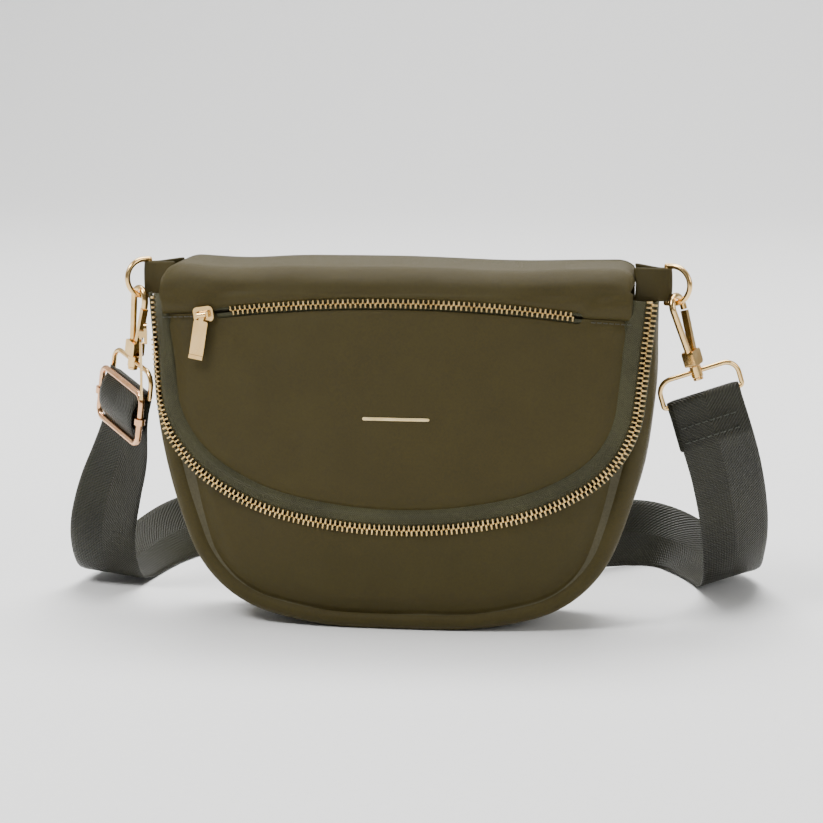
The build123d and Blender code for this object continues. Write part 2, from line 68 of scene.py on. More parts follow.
MAIN_TOOTH = (0.00132, 0.0030, 0.0021)      # along the chain, across it, out of the cloth
POCKET_TOOTH = (0.00132, 0.0025, 0.0017)
PATH_STEP = 0.0012          # between points along an outline

# ---- small helpers -------------------------------------------------------------------
def smooth_step(low, high, value):
    """0 at low, 1 at high, level at both."""
    t = np.clip((value - low) / (high - low), 0, 1)
    return t * t * (3 - 2 * t)


def bow(x, radius):
    """How far an arc in plan has come back from its middle at x."""
    return radius - np.sqrt(np.maximum(radius * radius - x * x, 1e-9))


def front_y(x, base):
    """Y of a bowed front layer whose middle is at base."""
    return base + bow(x, FRONT_BOW)


def back_y(x, base):
    """Y of a bowed back layer whose middle is at base."""
    return base - bow(x, BACK_BOW)


def u_path(bottom, flat, arcs, top, offset):
    """A mirrored U in XZ, from its left top to its right top: points and outward normals."""
    x, z, heading = 0.0, bottom - offset, 0.0
    points, angles = [(x, z)], [0.0]

    def run(length):
        nonlocal x, z
        count = max(1, round(length / PATH_STEP))
        for k in range(1, count + 1):
            gone = length * k / count
            points.append((x + gone * math.cos(heading), z + gone * math.sin(heading)))
            angles.append(heading)
        x, z = points[-1]

    if flat:
        run(flat)
    for radius, turn in arcs:
        grown = radius + offset
        centre = (x - grown * math.sin(heading), z + grown * math.cos(heading))
        count = max(2, round(grown * math.radians(turn) / PATH_STEP))
        for k in range(1, count + 1):
            angle = heading + math.radians(turn) * k / count
            points.append((centre[0] + grown * math.sin(angle), centre[1] - grown * math.cos(angle)))
            angles.append(angle)
        x, z = points[-1]
        heading = angles[-1]
    run((top - z) / math.sin(heading))
    right = np.array(points)
    normal = np.column_stack([np.sin(angles), -np.cos(angles)])
    left, left_normal = right[:0:-1] * (-1, 1), normal[:0:-1] * (-1, 1)
    return np.vstack([left, right]), np.vstack([left_normal, normal])


def body_path(inset, top=RIM_TOP):
    return u_path(0.0, BODY_FLAT, BODY_ARCS, top, -inset)


def chain_path(offset, top=CHAIN_TOP):
    return u_path(CHAIN_BOTTOM, 0.0, CHAIN_ARCS, top, offset)


def along(points):
    """Distance run at each point of a line."""
    return np.concatenate([[0], np.cumsum(np.linalg.norm(np.diff(points, axis=0), axis=1))])


def distance_to(points, line):
    """Distance from each point to the nearest vertex of a line."""
    best = np.empty(len(points))
    batch = 4000
    for start in range(0, len(points), batch):
        part = points[start:start + batch]
        gap = np.linalg.norm(part[:, None] - line[None], axis=2)
        best[start:start + batch] = gap.min(1)
    return best


def ripples(x, z, seed):
    """Smooth, repeatable unevenness from a few sines, about -1 to 1."""
    total = np.zeros_like(x)
    draw = np.random.default_rng(seed)
    for _ in range(5):
        fx, fz, phase = draw.uniform(-1, 1), draw.uniform(-1, 1), draw.uniform(0, 6.28)
        total = total + np.sin(x * fx + z * fz + phase)
    return total / 5


def make_mesh(name, vertices, faces, body, material, uvs=None, smooth=True):
    mesh = bpy.data.meshes.new(name)
    mesh.from_pydata([tuple(v) for v in vertices], [], faces)
    mesh.update()
    if uvs is not None:
        layer = mesh.uv_layers.new(name="weave")
        loops = np.empty(len(mesh.loops), dtype=np.int64)
        mesh.loops.foreach_get("vertex_index", loops)
        layer.data.foreach_set("uv", np.asarray(uvs)[loops].ravel())
    mesh.polygons.foreach_set("use_smooth", [smooth] * len(mesh.polygons))
    piece = bpy.data.objects.new(name, mesh)
    bpy.context.scene.collection.objects.link(piece)
    mesh.materials.append(material)
    if body:
        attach(piece, body)
    return piece


def grid_faces(rows, columns):
    """Quads of a grid whose vertices run column by column within each row."""
    faces = []
    for i in range(rows - 1):
        for j in range(columns - 1):
            a, b = i * columns + j, (i + 1) * columns + j
            faces.append((a, a + 1, b + 1, b))
    return faces


def turned(faces):
    """The same faces seen from their other side."""
    return [face[::-1] for face in faces]


def cloth(name, rows, points, uvs, body, kind, node=None, from_behind=False):
    """A grid of cloth, seen from the front or from behind, that grows thick on its other side."""
    slot, material, thick = kind
    faces = grid_faces(rows, len(points) // rows)
    if from_behind:
        faces = turned(faces)
    piece = make_mesh(name, points, faces, body, material, uvs)
    solid = piece.modifiers.new("thickness", "SOLIDIFY")
    solid.thickness = thick
    solid.offset = -1.0
    solid.use_even_offset = False
    if node:
        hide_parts(node)
    return piece


# ---- camera --------------------------------------------------------------------------
CAMERA_AZIMUTH = 7.0
CAMERA_ELEVATION = 10.0
CAMERA_DISTANCE = 1.2
CAMERA_TARGET = Vector((0.0035, 0.0, 0.1097))
CAMERA_SENSOR = 36
CAMERA_LENS = 101


def make_camera():
    azimuth, elevation = math.radians(CAMERA_AZIMUTH), math.radians(CAMERA_ELEVATION)
    away = Vector((
        math.sin(azimuth) * math.cos(elevation),
        -math.cos(azimuth) * math.cos(elevation),
        math.sin(elevation),
    ))
    camera = bpy.data.objects.new("camera", bpy.data.cameras.new("camera"))
    camera.data.sensor_width = CAMERA_SENSOR
    camera.data.lens = CAMERA_LENS
    camera.location = CAMERA_TARGET + away * CAMERA_DISTANCE
    camera.rotation_mode = "QUATERNION"
    camera.rotation_quaternion = (-away).to_track_quat("-Z", "Y")
    bpy.context.scene.collection.objects.link(camera)
    bpy.context.scene.camera = camera


# ---- materials -----------------------------------------------------------------------
class Nodes:
    """A small helper that adds shader nodes and links them."""

    def __init__(self, name):
        self.material = bpy.data.materials.new(name)
        self.material.use_nodes = True
        self.tree = self.material.node_tree
        self.shader = self.tree.nodes["Principled BSDF"]

    def add(self, kind, settings=None, **inputs):
        node = self.tree.nodes.new(kind)
        for key, value in (settings or {}).items():
            setattr(node, key, value)
        for key, value in inputs.items():
            self.put(node, key.replace("_", " "), value)
        return node

    def put(self, node, socket, value):
        target = node.inputs[int(socket)] if socket.isdigit() else node.inputs[socket]
        if isinstance(value, bpy.types.NodeSocket):
            self.tree.links.new(value, target)
        else:
            target.default_value = value

    def math(self, operation, first, second=0.0):
        node = self.add("ShaderNodeMath", {"operation": operation})
        self.put(node, "0", first)
        self.put(node, "1", second)
        return node.outputs[0]

    def noise(self, where, scale, detail=3.0, rough=0.55):
        return self.add(
            "ShaderNodeTexNoise", Vector=where, Scale=scale, Detail=detail, Roughness=rough
        ).outputs["Fac"]

    def ramp(self, factor, low, high):
        """A straight blend of two colours, by a factor from 0 to 1."""
        mix = self.add("ShaderNodeMix", {"data_type": "RGBA"})
        self.tree.links.new(factor, mix.inputs[0])
        mix.inputs[6].default_value = (*low, 1)
        mix.inputs[7].default_value = (*high, 1)
        return mix.outputs[2]

    def level(self, factor, from_low, from_high, low, high):
        ends = {"From_Min": from_low, "From_Max": from_high, "To_Min": low, "To_Max": high}
        return self.add("ShaderNodeMapRange", Value=factor, **ends).outputs[0]

    def bump(self, height, distance, strength=1.0, below=None):
        node = self.add("ShaderNodeBump", Height=height, Distance=distance, Strength=strength)
        if below is not None:
            self.tree.links.new(below, node.inputs["Normal"])
        return node.outputs[0]

    def place(self):
        return self.add("ShaderNodeTexCoord").outputs["Object"]

    def uv(self):
        return self.add("ShaderNodeUVMap", {"uv_map": "weave"}).outputs["UV"]

    def split(self, vector):
        return self.add("ShaderNodeSeparateXYZ", Vector=vector).outputs

    def finish(self, **inputs):
        for key, value in inputs.items():
            self.put(self.shader, key.replace("_", " "), value)
        return self.material


def nylon(name, low, high, sheen, rough=0.58):
    """Brushed nylon: fine plain weave, soft creases, faint colour variation, and painted shade in the
    weave's hollows.
    """
    n = Nodes(name)
    uv = n.split(n.uv())
    place = n.place()
    warp = n.math("SINE", n.math("MULTIPLY", uv[0], 2 * math.pi / 0.00052))
    weft = n.math("SINE", n.math("MULTIPLY", uv[1], 2 * math.pi / 0.00046))
    weave = n.math("MULTIPLY", warp, weft)
    patch = n.noise(place, 34.0, 3.0)
    fleck = n.noise(place, 900.0, 2.0)
    tone_and_painted_shade = n.math("ADD", n.math("MULTIPLY", patch, 0.25), n.math("MULTIPLY", fleck, 0.6))
    # painted shade: the colour is darker where the weave's relief is low
    tone_and_painted_shade = n.math("ADD", tone_and_painted_shade, n.math("MULTIPLY", weave, 0.12))
    colour = n.ramp(n.level(tone_and_painted_shade, 0.22, 0.62, 0.0, 1.0), low, high)
    crease = n.bump(n.noise(place, 40.0, 4.0, 0.5), 0.0020, 0.75)
    threads = n.bump(n.math("ADD", weave, n.math("MULTIPLY", fleck, 1.2)), 0.00005, 0.8, crease)
    return n.finish(
        Base_Color=colour,
        Roughness=n.level(fleck, 0.3, 0.7, rough - 0.05, rough + 0.07),
        Normal=threads,
        Sheen_Weight=sheen,
        Sheen_Roughness=0.42,
        Sheen_Tint=(0.62, 0.52, 0.26, 1),
        Specular_IOR_Level=0.26,
    )


def herringbone(name, low, high, wide, pitch, sheen, rough, depth):
    """Woven tape or webbing in chevrons, with painted shade in their grooves. UV runs along it and across
    it, in metres.
    """
    n = Nodes(name)
    uv = n.split(n.uv())
    across = n.math("PINGPONG", uv[1], wide)
    twill = n.math("ADD", uv[0], across)
    ribs = n.math("SINE", n.math("MULTIPLY", twill, 2 * math.pi / pitch))
    threads = n.math("SINE", n.math("MULTIPLY", uv[1], 2 * math.pi / (0.8 * pitch)))
    height = n.math("ADD", ribs, n.math("MULTIPLY", threads, 0.35))
    place = n.place()
    fleck = n.noise(place, 700.0, 2.0)
    patch = n.noise(place, 30.0, 2.0)
    tone_and_painted_shade = n.math("ADD", n.math("MULTIPLY", fleck, 0.4), n.math("MULTIPLY", patch, 0.5))
    # painted shade: the colour is darker in the chevrons' grooves, where the relief is low
    tone_and_painted_shade = n.math("ADD", tone_and_painted_shade, n.math("MULTIPLY", height, 0.14))
    colour = n.ramp(n.level(tone_and_painted_shade, 0.2, 0.75, 0.0, 1.0), low, high)
    return n.finish(
        Base_Color=colour,
        Roughness=n.level(tone_and_painted_shade, 0.2, 0.8, rough + 0.08, rough - 0.05),
        Normal=n.bump(height, depth, 0.9),
        Sheen_Weight=sheen,
        Sheen_Roughness=0.35,
        Sheen_Tint=(0.55, 0.55, 0.36, 1),
        Specular_IOR_Level=0.34,
    )


def metal(name, low, high, rough, brushed=0.0):
    """Plated metal: slight polish marks, worn and duller in patches."""
    n = Nodes(name)
    place = n.place()
    patch = n.noise(place, 160.0, 4.0)
    grain = n.noise(place, 1500.0, 2.0)
    stretch = n.add("ShaderNodeMapping", Vector=place, Scale=(1.0, 1.0, 9.0)).outputs[0]
    marks = n.noise(stretch, 900.0, 3.0)
    colour = n.ramp(n.level(patch, 0.35, 0.68, 0.0, 1.0), low, high)
    height = n.math("ADD", n.math("MULTIPLY", grain, 0.5), n.math("MULTIPLY", marks, 0.5 + brushed))
    dull = n.math("ADD", patch, n.math("MULTIPLY", marks, 0.4))
    return n.finish(
        Base_Color=colour,
        Metallic=1.0,
        Roughness=n.level(dull, 0.45, 0.95, rough, rough + 0.16),
        Normal=n.bump(height, 0.00002, 0.5),
    )


def thread(name, low, high):
    n = Nodes(name)
    place = n.place()
    twist = n.noise(place, 2600.0, 2.0)
    colour = n.ramp(n.level(twist, 0.35, 0.65, 0.0, 1.0), low, high)
    return n.finish(
        Base_Color=colour,
        Roughness=n.level(twist, 0.3, 0.7, 0.42, 0.6),
        Normal=n.bump(twist, 0.00005, 0.7),
        Sheen_Weight=0.2,
    )


def backdrop():
    n = Nodes("floor_white")
    place = n.place()
    grain = n.noise(place, 220.0, 3.0)
    return n.finish(
        Base_Color=n.ramp(grain, (0.86, 0.86, 0.85), (0.90, 0.90, 0.895)),
        Roughness=0.85,
        Specular_IOR_Level=0.1,
    )


OLIVE = nylon("olive_nylon", (0.031, 0.0225, 0.0022), (0.050, 0.0375, 0.0050), sheen=0.06)
LINING = nylon("lining_cloth", (0.050, 0.043, 0.020), (0.085, 0.074, 0.038), sheen=0.1, rough=0.5)
TAPE = herringbone(
    "zip_tape_weave", (0.016, 0.0150, 0.0040), (0.062, 0.058, 0.020),
    wide=0.0021, pitch=0.0012, sheen=0.12, rough=0.6, depth=0.00010,
)
WEBBING = herringbone(
    "webbing_weave", (0.0036, 0.0034, 0.0012), (0.0235, 0.0225, 0.0090),
    wide=0.019, pitch=0.0019, sheen=0.05, rough=0.44, depth=0.00018,
)
LIGHT_GOLD = metal("light_gold", (0.78, 0.50, 0.19), (0.92, 0.64, 0.29), 0.12)
ROSE_GOLD = metal("rose_gold", (0.74, 0.40, 0.20), (0.90, 0.54, 0.31), 0.13)
TEETH_GOLD = metal("teeth_gold", (0.50, 0.34, 0.13), (0.80, 0.57, 0.25), 0.22)
FOIL_GOLD = metal("foil_gold", (0.80, 0.60, 0.28), (0.93, 0.74, 0.40), 0.30, 0.3)
DARK_THREAD = thread("dark_thread", (0.012, 0.011, 0.005), (0.034, 0.030, 0.014))
WEB_THREAD = thread("webbing_thread", (0.016, 0.018, 0.011), (0.044, 0.048, 0.030))

# Kinds of cloth: slot, material and thickness.
SHELL = ("shell_fabric", OLIVE, 0.0012)
DOUBLED = ("shell_fabric", OLIVE, 0.0016)
ZIP_TAPE = ("zip_tape", TAPE, 0.0006)
POCKET_ZIP_TAPE = ("zip_tape", TAPE, 0.0005)
LINED = ("lining_fabric", LINING, 0.0005)
POUCH = ("lining_fabric", LINING, 0.0003)
FOIL = ("gold_foil", FOIL_GOLD, 0.0002)

make_camera()

# ---- strap ---------------------------------------------------------------------------
# Control points of the strap's middle, from the left strap loop, down to the surface,
# behind the bag on its edge, and up to the right loop.
STRAP_ROUTE = (
    (-0.1466, 0.0053, 0.1197), (-0.1500, 0.0100, 0.1010), (-0.1550, 0.0155, 0.0810),
    (-0.1640, 0.0205, 0.0580), (-0.1710, 0.0280, 0.0320), (-0.1710, 0.0430, 0.0080),
    (-0.1690, 0.0620, 0.0015), (-0.1650, 0.0850, 0.0035), (-0.1580, 0.1080, 0.0090),
    (-0.1440, 0.1270, 0.0150), (-0.1180, 0.1350, 0.0190), (-0.0800, 0.1320, 0.0190),
    (-0.0360, 0.1350, 0.0190), (0.0080, 0.1300, 0.0190), (0.0440, 0.1320, 0.0190),
    (0.0620, 0.1260, 0.0190), (0.0620, 0.1160, 0.0190), (0.0440, 0.1100, 0.0190),
    (0.0040, 0.1130, 0.0190), (-0.0400, 0.1090, 0.0190), (-0.0780, 0.1110, 0.0190),
    (-0.0960, 0.1050, 0.0190), (-0.0960, 0.0940, 0.0190), (-0.0780, 0.0880, 0.0190),
    (-0.0360, 0.0920, 0.0190), (0.0080, 0.0880, 0.0190), (0.0500, 0.0910, 0.0190),
    (0.0820, 0.1020, 0.0190), (0.1030, 0.1200, 0.0190), (0.1230, 0.1340, 0.0170),
    (0.1430, 0.1310, 0.0120), (0.1570, 0.1150, 0.0060), (0.1660, 0.0970, 0.0020),
    (0.1710, 0.0800, 0.0040), (0.1730, 0.0640, 0.0180), (0.1730, 0.0500, 0.0380),
    (0.1700, 0.0340, 0.0620), (0.1640, 0.0170, 0.0900), (0.1539, 0.0003, 0.1204),
)
# Where one edge of the strap points from its middle, at each control point.
STRAP_EDGE = (
    (-0.641, 0.728, 0.242), (-0.72, 0.68, 0.10), (-0.86, 0.48, 0.02),
    (-0.96, 0.28, 0.00), (-0.98, 0.14, 0.06), (-0.98, 0.12, 0.10),
    (-0.97, 0.10, 0.10), (-0.95, 0.10, 0.25), (-0.84, 0.20, 0.50),
    (-0.50, 0.30, 0.80), (0.0, 0.20, 0.97), *((0, 0, 1),) * 17, (0.05, 0.15, 0.98),
    (0.30, 0.35, 0.85), (0.62, 0.42, 0.62), (0.85, 0.40, 0.30), (0.92, 0.36, 0.12),
    (0.90, 0.36, 0.24), (0.86, 0.28, 0.40), (0.90, 0.22, 0.36),
    (0.93, 0.20, 0.30), (0.94, 0.19, 0.29), (0.937, 0.191, 0.292),
)
WEB_WIDE = 0.038
WEB_THICK = 0.0014


def spline_points(control):
    """Points read from the NURBS spline of a list of control points."""
    curve = bpy.data.curves.new("route", "CURVE")
    curve.dimensions = "3D"
    curve.resolution_u = 14
    spline = curve.splines.new("NURBS")
    spline.points.add(len(control) - 1)
    for point, place in zip(spline.points, control):
        point.co = (*place, 1)
    spline.order_u = 3
    spline.use_endpoint_u = True
    holder = bpy.data.objects.new("route", curve)
    bpy.context.scene.collection.objects.link(holder)
    bpy.context.view_layer.update()
    read = bpy.data.meshes.new_from_object(holder)
    points = np.array([v.co for v in read.vertices])
    bpy.data.meshes.remove(read)
    bpy.data.objects.remove(holder)
    bpy.data.curves.remove(curve)
    return points


def unit(vectors):
    return vectors / np.linalg.norm(vectors, axis=-1, keepdims=True)


def ribbon(name, middle, edge, wide, body, columns=12):
    """Flat webbing along a line, thinner at its selvedges; edge points from its middle to one of them."""
    ahead = unit(np.gradient(middle, axis=0))
    across = unit(edge - ahead * np.sum(edge * ahead, axis=1, keepdims=True))
    out = np.cross(ahead, across)
    share = np.linspace(-1, 1, columns + 1)
    run = along(middle)
    vertices, uvs = [], []
    for k in range(len(middle)):
        ring = []
        for side in (1, -1):
            for s in share[::side]:
                edge_round = math.sqrt(max(0.0, 1 - max(0.0, (abs(s) - 0.94) / 0.06) ** 2))
                lift = side * WEB_THICK / 2 * (0.25 + 0.75 * edge_round)
                ring.append(middle[k] + across[k] * wide / 2 * s + out[k] * lift)
                uvs.append((run[k], wide / 2 * (s + 1)))
        vertices.extend(ring)
    size = 2 * (columns + 1)
    faces = []
    for k in range(len(middle) - 1):
        for j in range(size):
            a, b = k * size + j, k * size + (j + 1) % size
            faces.append((a, a + size, b + size, b))
    faces.append(tuple(range(size)))
    faces.append(tuple(range(len(middle) * size - 1, (len(middle) - 1) * size - 1, -1)))
    return make_mesh(name, vertices, faces, body, WEBBING, np.array(uvs))


def make_strap():
    route = np.array(STRAP_ROUTE)
    half_width = unit(np.array(STRAP_EDGE, float)) * WEB_WIDE / 2
    rests_at = WEB_THICK + np.abs(half_width[:, 2])        # its lower edge is on the floor
    route[:, 2] = np.maximum(route[:, 2], rests_at)
    middle = spline_points(route)
    edge = spline_points(route + half_width) - middle
    strap = ribbon("strap", middle, edge, WEB_WIDE, "bag", 16)
    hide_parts("strap_run", "strap_left_drop", "strap_right_drop")
    return strap, middle


# ---- how the strap's hardware hangs from each D-ring -----------------------------------
RING_BAR_X = 0.134
RING_Z = 0.178
RING_NECK = 0.0035                     # the ring's bar to the middle of its bow
RING_HALF = 0.0095
HOOK_REST = math.radians(75)           # how far round its bow the hook hangs
HOOK_BELOW = 0.0023                    # the ring's wire to the middle of the hook's
LOWER_BAR = -0.0483                    # the strap loop's lower bar, down the hanging line
ADJUSTER_AT = (-0.0054, LOWER_BAR - 0.011)


def hang_frame(side, bow_way, facing, lean):
    """Where the hardware under a ring hangs, and its ways across, back and up."""
    reach = RING_NECK + RING_HALF * math.cos(HOOK_REST)
    ring_low = np.array((
        side * RING_BAR_X + bow_way[0] * reach, bow_way[1] * reach, RING_Z - RING_HALF * math.sin(HOOK_REST)
    ))
    back = -unit(np.array((*facing, 0.0)))
    level = np.array((back[1], -back[0], 0.0))
    across = level * math.cos(math.radians(lean)) - np.array((0.0, 0.0, math.sin(math.radians(lean))))
    up = np.cross(across, back)
    return ring_low - up * HOOK_BELOW, np.array((across, back, up))


LEFT_AT, LEFT_AXES = hang_frame(-1, (-0.75, -0.66), (-0.75, -0.66), 14.0)
RIGHT_AT, RIGHT_AXES = hang_frame(1, (0.90, -0.44), (0.20, -0.98), -17.0)


def in_frame(points, at, axes):
    """Local points (across, back, up) in the shared frame."""
    return at + np.asarray(points, float) @ axes


def folded_strip(name, path, at, axes, body, wide=WEB_WIDE):
    """Webbing that follows a path in the local YZ plane, its width along local X."""
    middle = in_frame([(0, y, z) for y, z in path], at, axes)
    edge = np.repeat(axes[:1], len(path), axis=0)
    return ribbon(name, middle, edge, wide, body)


LOOP_WIRE = 0.0013                     # radius of the strap loop's wire


def strap_end(name, at, axes, length):
    """The webbing's end, folded up over the strap loop's lower bar and sewn to itself."""
    radius = LOOP_WIRE + 0.0003 + WEB_THICK / 2
    front = [(-0.00145, z) for z in np.linspace(-length, -0.009, 9)]
    front += [(-0.0019, -0.005), (-radius, -0.002)]
    turns = np.linspace(0.15, math.pi - 0.15, 11)
    over = [(-radius * math.cos(turn), radius * math.sin(turn)) for turn in turns]
    back = [(-y, z) for y, z in reversed(front)]
    path = [(y, z + LOWER_BAR) for y, z in front + over + back]
    piece = folded_strip(f"{name}_webbing_end", path, at, axes, "bag")
    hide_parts(f"{name}_strap_end")
    return piece


def adjuster_webbing():
    """The webbing that passes through the adjuster's frame and over its bar."""
    path = (
        (0.0024, 0.0158), (0.0023, 0.0140), (0.0010, 0.0115), (-0.0006, 0.0090),
        (-0.0021, 0.0058), (-0.0028, 0.0026), (-0.0029, 0.0), (-0.0027, -0.0026), (-0.0022, -0.0055),
        (-0.0006, -0.0090), (0.0010, -0.0115), (0.0023, -0.0140), (0.0024, -0.0158),
    )
    path = [(y + ADJUSTER_AT[0], z + ADJUSTER_AT[1]) for y, z in path]
    piece = folded_strip("adjuster_webbing", path, LEFT_AT, LEFT_AXES, "adjuster_bar_body", 0.0375)
    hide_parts("strap_bight")
    return piece


strap, strap_middle = make_strap()
left_end = strap_end("left", LEFT_AT, LEFT_AXES, 0.020)
right_end = strap_end("right", RIGHT_AT, RIGHT_AXES, 0.024)
adjuster_fold = adjuster_webbing()

ADJUSTER_PARTS = ("adjuster_frame", "adjuster_bar")
HOOK_PARTS = tuple(
    f"{side}_{part}" for side in ("left", "right")
    for part in ("hook", "gate", "gate_pin", "swivel_post", "strap_loop")
)


# ---- bag body --------------------------------------------------------------------------
SEAM_TURN = math.radians(140)          # how far the gusset's roll turns in before its seam
PAST_SEAM = math.radians(28)           # how far its cloth goes on, under the panel
PANEL_ROWS = 46


def roll_radius(outline):
    """Radius of the gusset's roll: small under the bag, larger up its sides."""
    return 0.0046 + 0.0022 * smooth_step(0.0, 0.09, outline[:, 1])


def seam_path(outline, normal):
    """The seam line that the gusset's roll turns in to, and its depth behind the front."""
    radius = roll_radius(outline)
    seam = outline - normal * (radius * (1 - math.cos(SEAM_TURN)))[:, None]
    return seam, radius * (1 - math.sin(SEAM_TURN))


def fan(outline, top_half, top_z, rows):
    """Points from an outline up to a level top line, spread evenly along both."""
    run = along(outline)
    share = run / run[-1] * 2 - 1
    top = np.column_stack([share * top_half, np.full(len(share), top_z)])
    s = np.linspace(0, 1, rows)[:, None, None]
    return (1 - s) * outline + s * top


def panel(name, facing, top, puff, seed, node):
    """A front or back panel: a soft sheet held at its seam and filled from inside."""
    outline, normal = body_path(0, top)
    seam, depth = seam_path(outline, normal)
    flat = fan(seam, abs(seam[0, 0]), top, PANEL_ROWS)
    x, z = flat[..., 0].ravel(), flat[..., 1].ravel()
    gap = distance_to(np.column_stack([x, z]), seam)
    tucked = (np.tile(depth, PANEL_ROWS) + 0.0004) * (1 - smooth_step(0.0, 0.010, gap))
    lift = puff(x, z, gap) + 0.0008 * ripples(x * 130, z * 130, seed) * smooth_step(0.004, 0.02, gap)
    base = front_y(x, BODY_FRONT) if facing < 0 else back_y(x, BODY_BACK)
    y = base + facing * (lift - tucked)
    points = np.column_stack([x, y, z])
    cloth(name, PANEL_ROWS, points, points[:, ::2], "bag", SHELL, node, facing > 0)


def front_puff(x, z, gap):
    """The body swells below the main zip and lies flat behind the flap."""
    below = 1 - smooth_step(-0.002, 0.012, chain_height(x, z))
    return 0.0056 * below * (0.35 * smooth_step(0.0, 0.012, gap) + 0.65 * smooth_step(0.0, 0.045, gap))


def back_puff(_x, z, gap):
    """The back is slightly full below the middle."""
    return 0.0022 * smooth_step(0.0, 0.05, gap) * (1 - smooth_step(0.12, 0.17, z))


def chain_height(x, z):
    """How far a point is inside the main zip's chain line; negative is outside."""
    path, normal = chain_path(0.0)
    points = np.column_stack([x, z])
    best = np.full(len(points), np.inf)
    signed = np.zeros(len(points))
    for k in range(0, len(path), 2):
        delta = points - path[k]
        gap = np.hypot(delta[:, 0], delta[:, 1])
        nearer = gap < best
        best[nearer] = gap[nearer]
        signed[nearer] = -(delta @ normal[k])[nearer]
    return signed


def gusset():
    """The strip round the sides and bottom, rolled over at both seams."""
    outline, normal = body_path(0)
    radius = roll_radius(outline)
    turns = np.linspace(SEAM_TURN + PAST_SEAM, 0, 15)
    between = np.linspace(0, 1, 12)[1:-1]
    run = along(outline)
    x = outline[:, 0]
    front, back = front_y(x, BODY_FRONT), back_y(x, BODY_BACK)
    wave = ripples(run * 160, run * 37, 4)
    rows = []
    for turn in turns:
        inset = radius * (1 - math.cos(turn))
        rows.append((inset, front + radius * (1 - math.sin(turn))))
    for s in between:
        crown = 0.0008 * math.sin(math.pi * s)
        rows.append((-crown + 0.0004 * wave, front + radius + (back - front - 2 * radius) * s))
    for turn in turns[::-1]:
        inset = radius * (1 - math.cos(turn))
        rows.append((inset, back - radius * (1 - math.sin(turn))))
    vertices, uvs = [], []
    for inset, y in rows:
        place = outline - normal * np.broadcast_to(inset, len(outline))[:, None]
        vertices.append(np.column_stack([place[:, 0], y, np.maximum(place[:, 1], 0.0002)]))
        uvs.append(np.column_stack([run, y]))
    cloth("gusset", len(rows), np.vstack(vertices), np.vstack(uvs), "bag", SHELL, "side_gusset", True)


panel("front_cloth", -1, RIM_TOP, front_puff, 11, "front_panel")
panel("back_cloth", 1, BACK_TOP, back_puff, 12, "back_panel")
gusset()


# ---- flap ------------------------------------------------------------------------------
FLAP_LEFT = -0.1215                    # ends of the flap's top
FLAP_RIGHT = 0.1185
YOKE_HALF = 0.1172                     # half width of the yoke at its seam
ROOF_R = 0.012
ROOF_FROM = 0.176                      # the front face ends here and the shoulder begins
ROOF_BACK = 0.0262                     # the roof ends here and turns down
SKIRT_R = 0.0040
POCKET_END = 0.0930                    # half length of the pocket's slit
FLAP_ROWS = 60


def pocket_z(x):
    """Height of the pocket zip's line, which the yoke's seam carries on to the flap's edges."""
    arc = POCKET_TOP - POCKET_RADIUS + np.sqrt(POCKET_RADIUS ** 2 - x * x)
    beyond = np.maximum(np.abs(x) - 0.096, 0)
    return arc + beyond * 0.10


def slit_gap(x, half):
    """Half height of the pocket's slit, closing in a round end."""
    t = np.clip((np.abs(x) - (POCKET_END - 0.003)) / 0.003, 0, 1)
    return 0.0002 + half * np.sqrt(np.maximum(0, 1 - t * t))


def wrap_left(x, y, z):
    """On the left the flap's edge runs wider and turns round the side of the bag."""
    weight = smooth_step(0.080, 0.130, z)
    reach = -x
    wider = np.interp(reach, (0.090, 0.1166, 0.1275, 0.135), (0, 0.0042, 0.0012, 0.0))
    behind = np.interp(reach, (0.112, 0.1166, 0.1275, 0.135), (0, 0.0006, 0.0075, 0.0115))
    return x - wider * weight, y + behind * weight


def flap_front(x, z, gap):
    """Y of the flap's cloth: rounded down at its seam, and slightly full below the middle."""
    tucked = 0.0016 * (1 - smooth_step(0.0, 0.007, gap))
    full = 0.0010 * np.exp(-((x / 0.07) ** 2 + ((z - 0.10) / 0.045) ** 2))
    uneven = 0.0005 * ripples(x * 95, z * 120, 21) * smooth_step(0.004, 0.03, gap)
    return front_y(x, FLAP_FRONT) + tucked - full + uneven


def creases(x, z):
    """Soft folds that run from the pocket slider up to the flap's corner, and along the yoke."""
    fold = np.zeros_like(x)
    for start, end, deep, wide in (
        ((-0.098, 0.170), (-0.058, 0.186), 0.0019, 0.0034),
        ((-0.104, 0.168), (-0.118, 0.182), 0.0013, 0.0036),
        ((-0.050, 0.173), (0.010, 0.179), 0.0010, 0.0040),
        ((0.092, 0.168), (0.112, 0.184), 0.0018, 0.0036),
        ((0.060, 0.173), (0.096, 0.180), 0.0011, 0.0034),
        ((-0.090, 0.158), (-0.056, 0.138), 0.0013, 0.0060),
        ((0.098, 0.160), (0.113, 0.142), 0.0010, 0.0045),
        ((-0.112, 0.160), (-0.109, 0.120), 0.0008, 0.0045),
    ):
        a, b = np.array(start), np.array(end)
        run = b - a
        t = np.clip(((x - a[0]) * run[0] + (z - a[1]) * run[1]) / (run @ run), 0, 1)
        off = np.hypot(x - a[0] - run[0] * t, z - a[1] - run[1] * t)
        fold = fold + deep * np.exp(-((off / wide) ** 2)) * np.sin(math.pi * np.clip(t * 0.9 + 0.1, 0, 1))
    return fold


